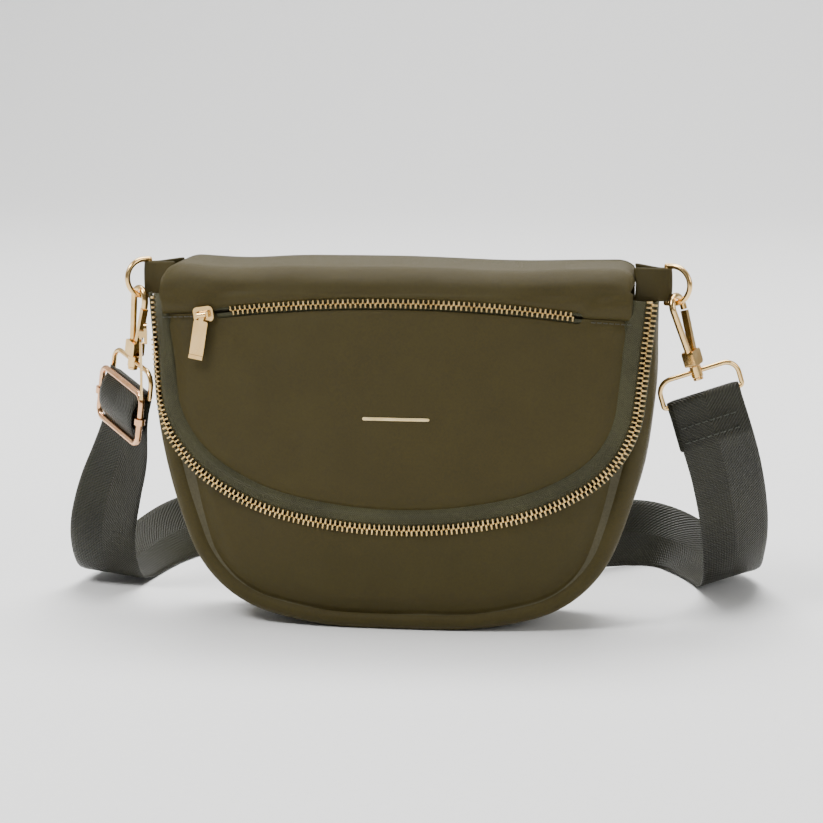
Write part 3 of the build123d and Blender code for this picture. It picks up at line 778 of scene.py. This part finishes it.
def flap_lower():
    """The flap below the pocket zip, from its seam with the zip's tape up to the slit."""
    path, _ = chain_path(-SEAM_IN)
    seam = path[path[:, 1] < pocket_z(path[:, 0]) + 0.0002]
    run = along(seam)
    top_x = (run / run[-1] * 2 - 1) * abs(seam[0, 0])
    top = np.column_stack([top_x, pocket_z(top_x) - slit_gap(top_x, 0.0031)])
    s = np.linspace(0, 1, FLAP_ROWS)[:, None, None]
    flat = (1 - s) * seam + s * top
    x, z = flat[..., 0].ravel(), flat[..., 1].ravel()
    gap = distance_to(np.column_stack([x, z]), seam)
    lip = 0.0010 * (1 - smooth_step(0.002, 0.007, pocket_z(x) - z))
    y = flap_front(x, z, gap) + lip + creases(x, z)
    wrapped_x, wrapped_y = wrap_left(x, y, z)
    points = np.column_stack([wrapped_x, wrapped_y, z])
    cloth("flap_cloth", FLAP_ROWS, points, np.column_stack([x, z]), "flap", SHELL, "flap_cover")


def roof_height(x, y):
    """The flap's top: gently uneven, with rounded ends."""
    reach = np.where(x < 0, x / FLAP_LEFT, x / FLAP_RIGHT)
    over = np.clip((reach - 0.91) / 0.09, 0, 1)
    ends = 0.007 * (1 - np.sqrt(np.maximum(0, 1 - over * over)))
    sag = 0.0016 * np.exp(-(((x + 0.085) / 0.022) ** 2)) + 0.0014 * np.exp(-(((x - 0.06) / 0.03) ** 2))
    return BAG_TOP - ends - sag + 0.0006 * ripples(x * 90, y * 60, 5)


def flap_yoke():
    """The flap above the pocket zip, over the shoulder and the roof, to its back skirt."""
    columns = 150
    base_x = np.linspace(-YOKE_HALF, YOKE_HALF, columns)
    low = pocket_z(base_x) + slit_gap(base_x, 0.0019)
    grown = np.where(base_x < 0, -FLAP_LEFT / YOKE_HALF, FLAP_RIGHT / YOKE_HALF)
    rows = []
    for t in np.linspace(0, 1, 8):
        z = low + (ROOF_FROM - low) * t
        wide = base_x * (1 + (grown - 1) * 0.6 * smooth_step(0.0, 1.0, t))
        lip = 0.0011 * (1 - smooth_step(0.0, 0.6, t))
        y = front_y(wide, FLAP_FRONT) + lip - 0.0008 * math.sin(math.pi * t) + creases(base_x, z)
        rows.append((wide, y, z))
    wide = base_x * grown
    for turn in np.linspace(0, math.pi / 2, 9)[1:]:
        front = front_y(wide, FLAP_FRONT)
        y = front + ROOF_R * (1 - math.cos(turn))
        top = roof_height(wide, y)
        z = ROOF_FROM + (top - ROOF_FROM) * math.sin(turn)
        rows.append((wide * (0.98 + 0.02 * math.sin(turn)), y, z))
    front_rows = len(rows) + 1
    for t in np.linspace(0, 1, 16)[1:]:
        y_from = front_y(wide, FLAP_FRONT) + ROOF_R
        y = y_from + (ROOF_BACK - y_from) * t
        rows.append((wide, y, roof_height(wide, y)))
    for turn in np.linspace(0, math.pi / 2, 6)[1:]:
        y = np.full_like(wide, ROOF_BACK + SKIRT_R * math.sin(turn))
        top = roof_height(wide, y)
        rows.append((wide, back_y(wide, 0) + y, top - 0.0036 * (1 - math.cos(turn))))
    for z in (0.1830, 0.1808, 0.1790):
        rows.append((wide, back_y(wide, ROOF_BACK + SKIRT_R), np.minimum(rows[-1][2] - 0.0005, z)))
    middle = np.array([(y[columns // 2], z[columns // 2]) for _, y, z in rows])
    vertices, uvs = [], []
    for k, ((x, y, z), run) in enumerate(zip(rows, along(middle))):
        uvs.append(np.column_stack([x, np.full_like(x, POCKET_TOP + run)]))
        moved_x, moved_y = wrap_left(x, y, z)
        front_share = smooth_step(-0.005, -0.030, y) if k < front_rows else 0.0
        shift = (moved_x - x) * smooth_step(0.190, 0.172, z)
        vertices.append(np.column_stack([x + shift, y + (moved_y - y) * front_share * 0.3, z]))
    cloth("flap_yoke", len(rows), np.vstack(vertices), np.vstack(uvs), "flap", SHELL)


# ---- main zip --------------------------------------------------------------------------
def chain_place(path, normal, offset, y):
    """Points beside the chain line, on the flap's bowed front, with the left side wrapped."""
    place = path + normal * offset
    x, z = place[:, 0], place[:, 1]
    depth = front_y(x, FLAP_FRONT) + y
    x, depth = wrap_left(x, depth, z)
    return np.column_stack([x, depth, z])


def strip(name, path, normal, section, body, node):
    """A tape along the chain; section lists (offset, y) across it."""
    run = along(path)
    rows = [chain_place(path, normal, offset, y) for offset, y in section]
    across = along(np.array(section))
    uvs = [np.column_stack([run, np.full(len(run), v)]) for v in across]
    cloth(name, len(rows), np.vstack(rows), np.vstack(uvs), body, ZIP_TAPE, node, True)


def tooth_shape(long, wide, deep):
    """One metal tooth: local X along the chain, Y towards the other row, Z out of the cloth."""
    profile = (
        (-0.34, -0.50), (0.34, -0.50), (0.36, 0.10), (0.50, 0.22), (0.50, 0.40), (0.30, 0.50),
        (-0.30, 0.50), (-0.50, 0.40), (-0.50, 0.22), (-0.36, 0.10),
    )
    vertices = []
    for z, shrink in ((-0.5, 0.84), (-0.32, 1.0), (0.30, 1.0), (0.5, 0.74)):
        for x, y in profile:
            vertices.append((x * long * shrink, (y * (0.5 + shrink / 2)) * wide, z * deep))
    size = len(profile)
    faces = [tuple(range(size - 1, -1, -1)), tuple(range(3 * size, 4 * size))]
    for ring in range(3):
        for k in range(size):
            a, b = ring * size + k, ring * size + (k + 1) % size
            faces.append((a, b, b + size, a + size))
    return np.array(vertices), faces


OFF_CHAIN = 0.42                       # a tooth's middle to the chain line, by the tooth's width


def teeth_row(name, place_at, length, start, side, body, node, size):
    """Teeth at the zip's pitch; place_at gives a point, the way along and the way across."""
    shape, shape_faces = tooth_shape(*size)
    vertices, faces = [], []
    at = start
    while at < length:
        point, ahead, across, out = place_at(at)
        frame_axes = np.array((ahead, across * side, out))
        base = len(vertices) * len(shape)
        vertices.append(point - across * side * size[1] * OFF_CHAIN + shape @ frame_axes)
        tooth = [tuple(base + k for k in face) for face in shape_faces]
        faces += tooth if side > 0 else turned(tooth)
        at += TOOTH_PITCH
    piece = make_mesh(name, np.vstack(vertices), faces, body, TEETH_GOLD, smooth=False)
    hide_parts(node)


def line_frames(points, out_hint):
    """A function of distance that gives a point on a line and its three directions."""
    run = along(points)
    ahead_all = unit(np.gradient(points, axis=0))

    def place_at(at):
        point = np.array([np.interp(at, run, points[:, k]) for k in range(3)])
        ahead = unit(np.array([np.interp(at, run, ahead_all[:, k]) for k in range(3)]))
        out = np.array([np.interp(at, run, out_hint[:, k]) for k in range(3)])
        out = unit(out - ahead * (out @ ahead))
        return point, ahead, np.cross(out, ahead), out

    return place_at, run[-1]


# Each tape across the chain: offset from the chain line, and depth behind the flap's front.
FLAP_TAPE = (
    (-0.0122, 0.0022), (-0.0108, 0.0012), (-0.0090, 0.0004), (-0.0066, 0.0), (-0.0040, 0.0003),
    (-0.0014, 0.0009),
)
TEETH_Y = 0.0006
BODY_TAPE = ((0.0014, 0.0010), (0.0026, 0.0013), (0.0032, 0.0026), (0.0030, 0.0044), (0.0026, 0.0064))


def main_zip():
    path, normal = chain_path(0.0)
    strip("flap_zip_tape", path, normal, FLAP_TAPE, "flap", "main_zip_flap_tape")
    strip("body_zip_tape", path, normal, BODY_TAPE, "bag", "main_zip_body_tape")
    middle = chain_place(path, normal, 0.0, TEETH_Y)
    inner = chain_place(path, normal, -0.0015, TEETH_Y)
    outer = chain_place(path, normal, 0.0015, TEETH_Y)
    ahead = unit(np.gradient(middle, axis=0))
    out = unit(np.cross(outer - inner, ahead))
    out = out * np.where(out[:, 1:2] > 0, -1, 1)
    place_at, length = line_frames(middle, out)
    teeth_row("flap_zip_teeth", place_at, length, 0.024, 1, "flap", "main_zip_flap_teeth", MAIN_TOOTH)
    teeth_row("body_zip_teeth", place_at, length, 0.0023, -1, "bag", "main_zip_body_teeth", MAIN_TOOTH)


def back_fold():
    """Cloth from the back panel up inside the flap, where the flap folds."""
    columns, rows = 90, 16
    x = np.linspace(FLAP_LEFT + 0.005, FLAP_RIGHT - 0.004, columns)
    z = np.linspace(0.1700, 0.1855, rows)
    grid_x, grid_z = (g.ravel() for g in np.meshgrid(x, z))
    y = back_y(grid_x, 0.0286) + 0.0002 * ripples(grid_x * 140, grid_z * 90, 41)
    piece = make_mesh(
        "back_fold", np.column_stack([grid_x, y, grid_z]), grid_faces(rows, columns), None,
        OLIVE, np.column_stack([grid_x, grid_z]),
    )
    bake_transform(piece)


flap_lower()
flap_yoke()
back_fold()
main_zip()


# ---- pocket zip ------------------------------------------------------------------------
POCKET_TEETH_Y = 0.0011
POCKET_TEETH_HALF = 7.85               # degrees of the zip's arc
POCKET_TAPE_HALF = 8.1
POCKET_TAPE = ((0.0008, 0.0013), (0.0022, 0.0014), (0.0052, 0.0022))


def pocket_line(offset, half_angle, y):
    """A line beside the pocket zip's arc, on the flap's bowed front."""
    angle = np.radians(np.linspace(-half_angle, half_angle, 160))
    radius = POCKET_RADIUS + offset
    x = radius * np.sin(angle)
    z = POCKET_TOP - POCKET_RADIUS + radius * np.cos(angle)
    return np.column_stack([x, front_y(x, FLAP_FRONT) + y, z])


def pocket_zip():
    middle = pocket_line(0.0, POCKET_TEETH_HALF, POCKET_TEETH_Y)
    above = pocket_line(0.001, POCKET_TEETH_HALF, POCKET_TEETH_Y)
    out = unit(np.cross(above - middle, unit(np.gradient(middle, axis=0))))
    out = out * np.where(out[:, 1:2] > 0, -1, 1)
    place_at, length = line_frames(middle, out)
    for name, side, start in (("upper", 1, 0.006), ("lower", -1, 0.006 + TOOTH_PITCH / 2)):
        rows = [pocket_line(side * offset, POCKET_TAPE_HALF, y) for offset, y in POCKET_TAPE]
        run = along(rows[0])
        uvs = [np.column_stack([run, np.full(len(run), offset)]) for offset, _ in POCKET_TAPE]
        cloth(
            f"pocket_tape_{name}", len(rows), np.vstack(rows), np.vstack(uvs), "flap", POCKET_ZIP_TAPE,
            f"pocket_zip_{name}_tape", side < 0,
        )
        node = f"pocket_zip_{name}_teeth"
        teeth_row(f"pocket_teeth_{name}", place_at, length - 0.002, start, -side, "flap", node, POCKET_TOOTH)


# ---- linings and pocket bag ------------------------------------------------------------
def inner_sheet(name, outline, middle_y, body, node=None):
    """A lining sheet behind an outline; middle_y gives its Y from X."""
    rows = 24
    flat = fan(outline, abs(outline[0, 0]), outline[0, 1], rows)
    x, z = flat[..., 0].ravel(), flat[..., 1].ravel()
    y = middle_y(x) + 0.0003 * ripples(x * 120, z * 110, 31)
    points = np.column_stack([x, y, z])
    cloth(name, rows, points, points[:, ::2], body, LINED, node, True)


def linings():
    """The flap's lining, and the bag's: a strip round its sides and bottom, a front and a back."""
    seam, _ = chain_path(-SEAM_IN, ROOF_FROM)
    inner_sheet("flap_lining_cloth", seam, lambda x: front_y(x, FLAP_LINING), "flap", "flap_lining")
    outline, _ = body_path(0.0026, RIM_TOP - 0.0025)
    x, z = outline[:, 0], outline[:, 1]
    front, back = front_y(x, LINING_FRONT), back_y(x, LINING_BACK)
    rows, uvs = [], []
    run = along(outline)
    for t in (0.0, 0.03, 0.12, 0.3, 0.5, 0.7, 0.88, 0.97, 1.0):
        y = front + (back - front) * t
        rows.append(np.column_stack([x, y, z + 0.0003 * np.sin(run * 190 + y * 300)]))
        uvs.append(np.column_stack([run, y]))
    cloth("lining_side", len(rows), np.vstack(rows), np.vstack(uvs), "bag", LINED, "bag_lining")
    inner_sheet("lining_front", outline, lambda x: front_y(x, LINING_FRONT), "bag")
    inner_sheet("lining_back", outline, lambda x: back_y(x, LINING_BACK), "bag")


POUCH_HALF = 0.074
POUCH_BOTTOM = 0.0740
POUCH_TOP = 0.1665


def pouch():
    """Flat lining pouch behind the pocket zip, sewn round three sides."""
    columns, rows = 60, 40
    x = np.linspace(-POUCH_HALF, POUCH_HALF, columns)
    z = np.linspace(POUCH_BOTTOM, POUCH_TOP, rows)
    grid_x, grid_z = (g.ravel() for g in np.meshgrid(x, z))
    edge = np.minimum(POUCH_HALF - np.abs(grid_x), grid_z - POUCH_BOTTOM)
    full = 0.0009 * smooth_step(0.0, 0.008, edge)
    base = front_y(grid_x, POUCH_Y) + 0.0002 * ripples(grid_x * 150, grid_z * 150, 33)
    for name, side, node in (("pocket_bag_front", -1, "pocket_bag"), ("pocket_bag_back", 1, None)):
        points = np.column_stack([grid_x, base + side * full * 0.7, grid_z])
        cloth(name, rows, points, points[:, ::2], "flap", POUCH, node)


# ---- stitches --------------------------------------------------------------------------
def stitches(name, line, out, body, material, long=0.0021, gap=0.0009, wide=0.00042):
    """A row of sewn stitches: short threads that dip into the cloth at both ends."""
    run = along(line)
    vertices, faces = [], []
    at = gap
    while at + long < run[-1]:
        base = len(vertices)
        ring_at = np.linspace(at, at + long, 5)
        centre = np.column_stack([np.interp(ring_at, run, line[:, k]) for k in range(3)])
        away = unit(np.column_stack([np.interp(ring_at, run, out[:, k]) for k in range(3)]))
        ahead = unit(np.gradient(centre, axis=0))
        side = np.cross(ahead, away)
        for k, lift in enumerate((-0.55, 0.35, 0.6, 0.35, -0.55)):
            for j in range(6):
                turn = math.pi * j / 3
                offset = away[k] * (math.sin(turn) + lift) + side[k] * math.cos(turn)
                vertices.append(centre[k] + offset * wide * 0.6)
        for k in range(4):
            for j in range(6):
                a, b = base + k * 6 + j, base + k * 6 + (j + 1) % 6
                faces.append((a, b, b + 6, a + 6))
        faces.append(tuple(base + j for j in range(5, -1, -1)))
        faces.append(tuple(base + 24 + j for j in range(6)))
        at += long + gap
    return make_mesh(name, vertices, faces, body, material)


def seam_stitches():
    """Topstitch along the yoke, from each end of the pocket zip to the flap's edge."""
    for name, inner, outer in (("left", -0.1180, -0.0965), ("right", 0.0965, 0.1180)):
        x = np.linspace(inner, outer, 30)
        z = pocket_z(x) - 0.0016
        y = flap_front(x, z, np.full_like(x, 0.02)) + creases(x, z) + 0.0002
        warped_x, warped_y = wrap_left(x, y, z)
        line = np.column_stack([warped_x, warped_y, z])
        out = np.tile((0.0, -1.0, 0.0), (len(x), 1))
        stitches(f"{name}_yoke_stitches", line, out, "flap", DARK_THREAD)
    left = ("left", LEFT_AT, LEFT_AXES, (0.014,))
    right = ("right", RIGHT_AT, RIGHT_AXES, (0.012, 0.020))
    for side, at, axes, drops in (left, right):
        for k, drop in enumerate(drops):
            local = [(x, -0.00245, LOWER_BAR - drop) for x in np.linspace(-0.0170, 0.0170, 20)]
            out = np.repeat(-axes[1:2], len(local), axis=0)
            line = in_frame(local, at, axes)
            name = f"{side}_end_stitches_{k}"
            stitches(name, line, out, "bag", WEB_THREAD, 0.0026, 0.0012, 0.0005)


FOIL_HALF = 0.017
FOIL_Z = 0.112
FOIL_R = 0.0008                        # half its height, and the radius of its ends


def foil_bar():
    """A plain bar of gold foil pressed into the flap."""
    x = np.linspace(-FOIL_HALF, FOIL_HALF, 60)
    rows = []
    for s in np.linspace(-1, 1, 5):
        z = FOIL_Z + s * FOIL_R * np.sqrt(np.clip((FOIL_HALF + 0.0002 - np.abs(x)) / FOIL_R, 0, 1))
        rows.append(np.column_stack([x, flap_front(x, z, np.full_like(x, 0.05)) - 0.0004, z]))
    cloth("foil_mark", len(rows), np.vstack(rows), None, "flap", FOIL, "foil_bar")


# ---- tabs that hold the rings ----------------------------------------------------------
TAB_HALF = 0.0085
RING_WIRE = 0.0014


def ring_tab(name, side):
    """Doubled cloth folded round the ring's bar and sewn to the bag's top corner."""
    bar_x = side * RING_BAR_X
    radius = RING_WIRE + 0.0003 + 0.0009
    turns = np.linspace(math.radians(-78), math.radians(78), 13)
    loop = [(bar_x + side * radius * math.cos(turn), radius * math.sin(turn)) for turn in turns]
    front = [(0.1185, -0.0125), (0.1225, -0.0088), (0.1275, -0.0052), (0.1312, -0.0032)]
    front = [(side * x, y) for x, y in front]
    back = [(x, -y * 0.9) for x, y in reversed(front)]
    line = np.array(front + loop + back)
    rows, uvs = [], []
    run = along(line)
    for s in np.linspace(-1, 1, 15):
        puffed = 0.0005 * (1 - s * s)
        pull = 1 + 0.05 * s * s
        flare = 1.0 + 0.18 * np.clip((0.131 - np.abs(line[:, 0])) / 0.012, 0, 1)
        z = RING_Z + s * TAB_HALF * flare
        x = bar_x + (line[:, 0] - bar_x) * pull + side * puffed
        rows.append(np.column_stack([x, line[:, 1] * (1 + puffed * 60), z]))
        uvs.append(np.column_stack([run, z]))
    points, node = np.vstack(rows), f"{name}_ring_tab"
    piece = cloth(f"{name}_tab", len(rows), points, np.vstack(uvs), "bag", DOUBLED, node, side < 0)
    smooth = piece.modifiers.new("soften", "SUBSURF")
    smooth.levels = 1
    smooth.render_levels = 1


pocket_zip()
linings()
pouch()
seam_stitches()
foil_bar()
ring_tab("left", -1)
ring_tab("right", 1)

# ---- finishes of the parts that stay as they are ---------------------------------------
GOLD_PARTS = (
    "main_zip_slider", "main_zip_pull", "pocket_zip_slider", "pocket_zip_pull",
    "left_d_ring", "right_d_ring", *HOOK_PARTS,
)
for parts, material in ((ADJUSTER_PARTS, ROSE_GOLD), (GOLD_PARTS, LIGHT_GOLD)):
    for part in parts:
        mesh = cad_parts[part].data
        mesh.materials.clear()
        mesh.materials.append(material)

# ---- floor and light -------------------------------------------------------------------
def make_floor():
    """A plain sweep: flat under the bag, curving up far behind it."""
    bend, far = 1.6, 2.4
    profile = [(-4.0, 0.0), (-1.0, 0.0), (0.0, 0.0), (1.0, 0.0), (far, 0.0)]
    turns = np.linspace(0.1, math.pi / 2, 14)
    profile += [(far + bend * math.sin(turn), bend * (1 - math.cos(turn))) for turn in turns]
    profile.append((far + bend, 7.0))            # the wall's top
    vertices = [(x, y, z) for y, z in profile for x in (-8.0, 8.0)]
    mesh = bpy.data.meshes.new("floor")
    mesh.from_pydata(vertices, [], grid_faces(len(profile), 2))
    mesh.polygons.foreach_set("use_smooth", [True] * len(mesh.polygons))
    floor = bpy.data.objects.new("floor", mesh)
    bpy.context.scene.collection.objects.link(floor)
    mesh.materials.append(backdrop())


def area_light(name, place, target, size, power):
    light = bpy.data.lights.new(name, "AREA")
    light.shape = "DISK"
    light.size = size
    light.energy = power
    lamp = bpy.data.objects.new(name, light)
    lamp.location = place
    lamp.rotation_mode = "QUATERNION"
    lamp.rotation_quaternion = (Vector(target) - Vector(place)).to_track_quat("-Z", "Y")
    bpy.context.scene.collection.objects.link(lamp)


def make_light():
    target = (0, 0, 0.1)
    area_light("key", (-1.0, -1.0, 1.7), target, 0.7, 36)
    area_light("fill", (1.5, -1.0, 0.9), target, 0.8, 9)
    area_light("top", (0.1, 0.35, 1.9), target, 1.3, 34)
    area_light("sweep", (0.0, 1.2, 2.6), (0, 3.2, 0.6), 2.4, 110)
    world = bpy.data.worlds.new("studio")
    world.use_nodes = True
    tree = world.node_tree
    # A studio that is dark behind the camera and bright behind the bag, for the metal to mirror.
    split = tree.nodes.new("ShaderNodeSeparateXYZ")
    tree.links.new(tree.nodes.new("ShaderNodeTexCoord").outputs["Generated"], split.inputs[0])
    level = tree.nodes.new("ShaderNodeMapRange")
    level.inputs["From Min"].default_value = -0.55
    level.inputs["From Max"].default_value = 0.35
    level.inputs["To Min"].default_value = 0.16
    level.inputs["To Max"].default_value = 1.1
    tree.links.new(split.outputs[1], level.inputs["Value"])
    background = tree.nodes["Background"]
    background.inputs["Color"].default_value = (1, 1, 1, 1)
    tree.links.new(level.outputs[0], background.inputs["Strength"])
    bpy.context.scene.world = world


make_floor()
make_light()
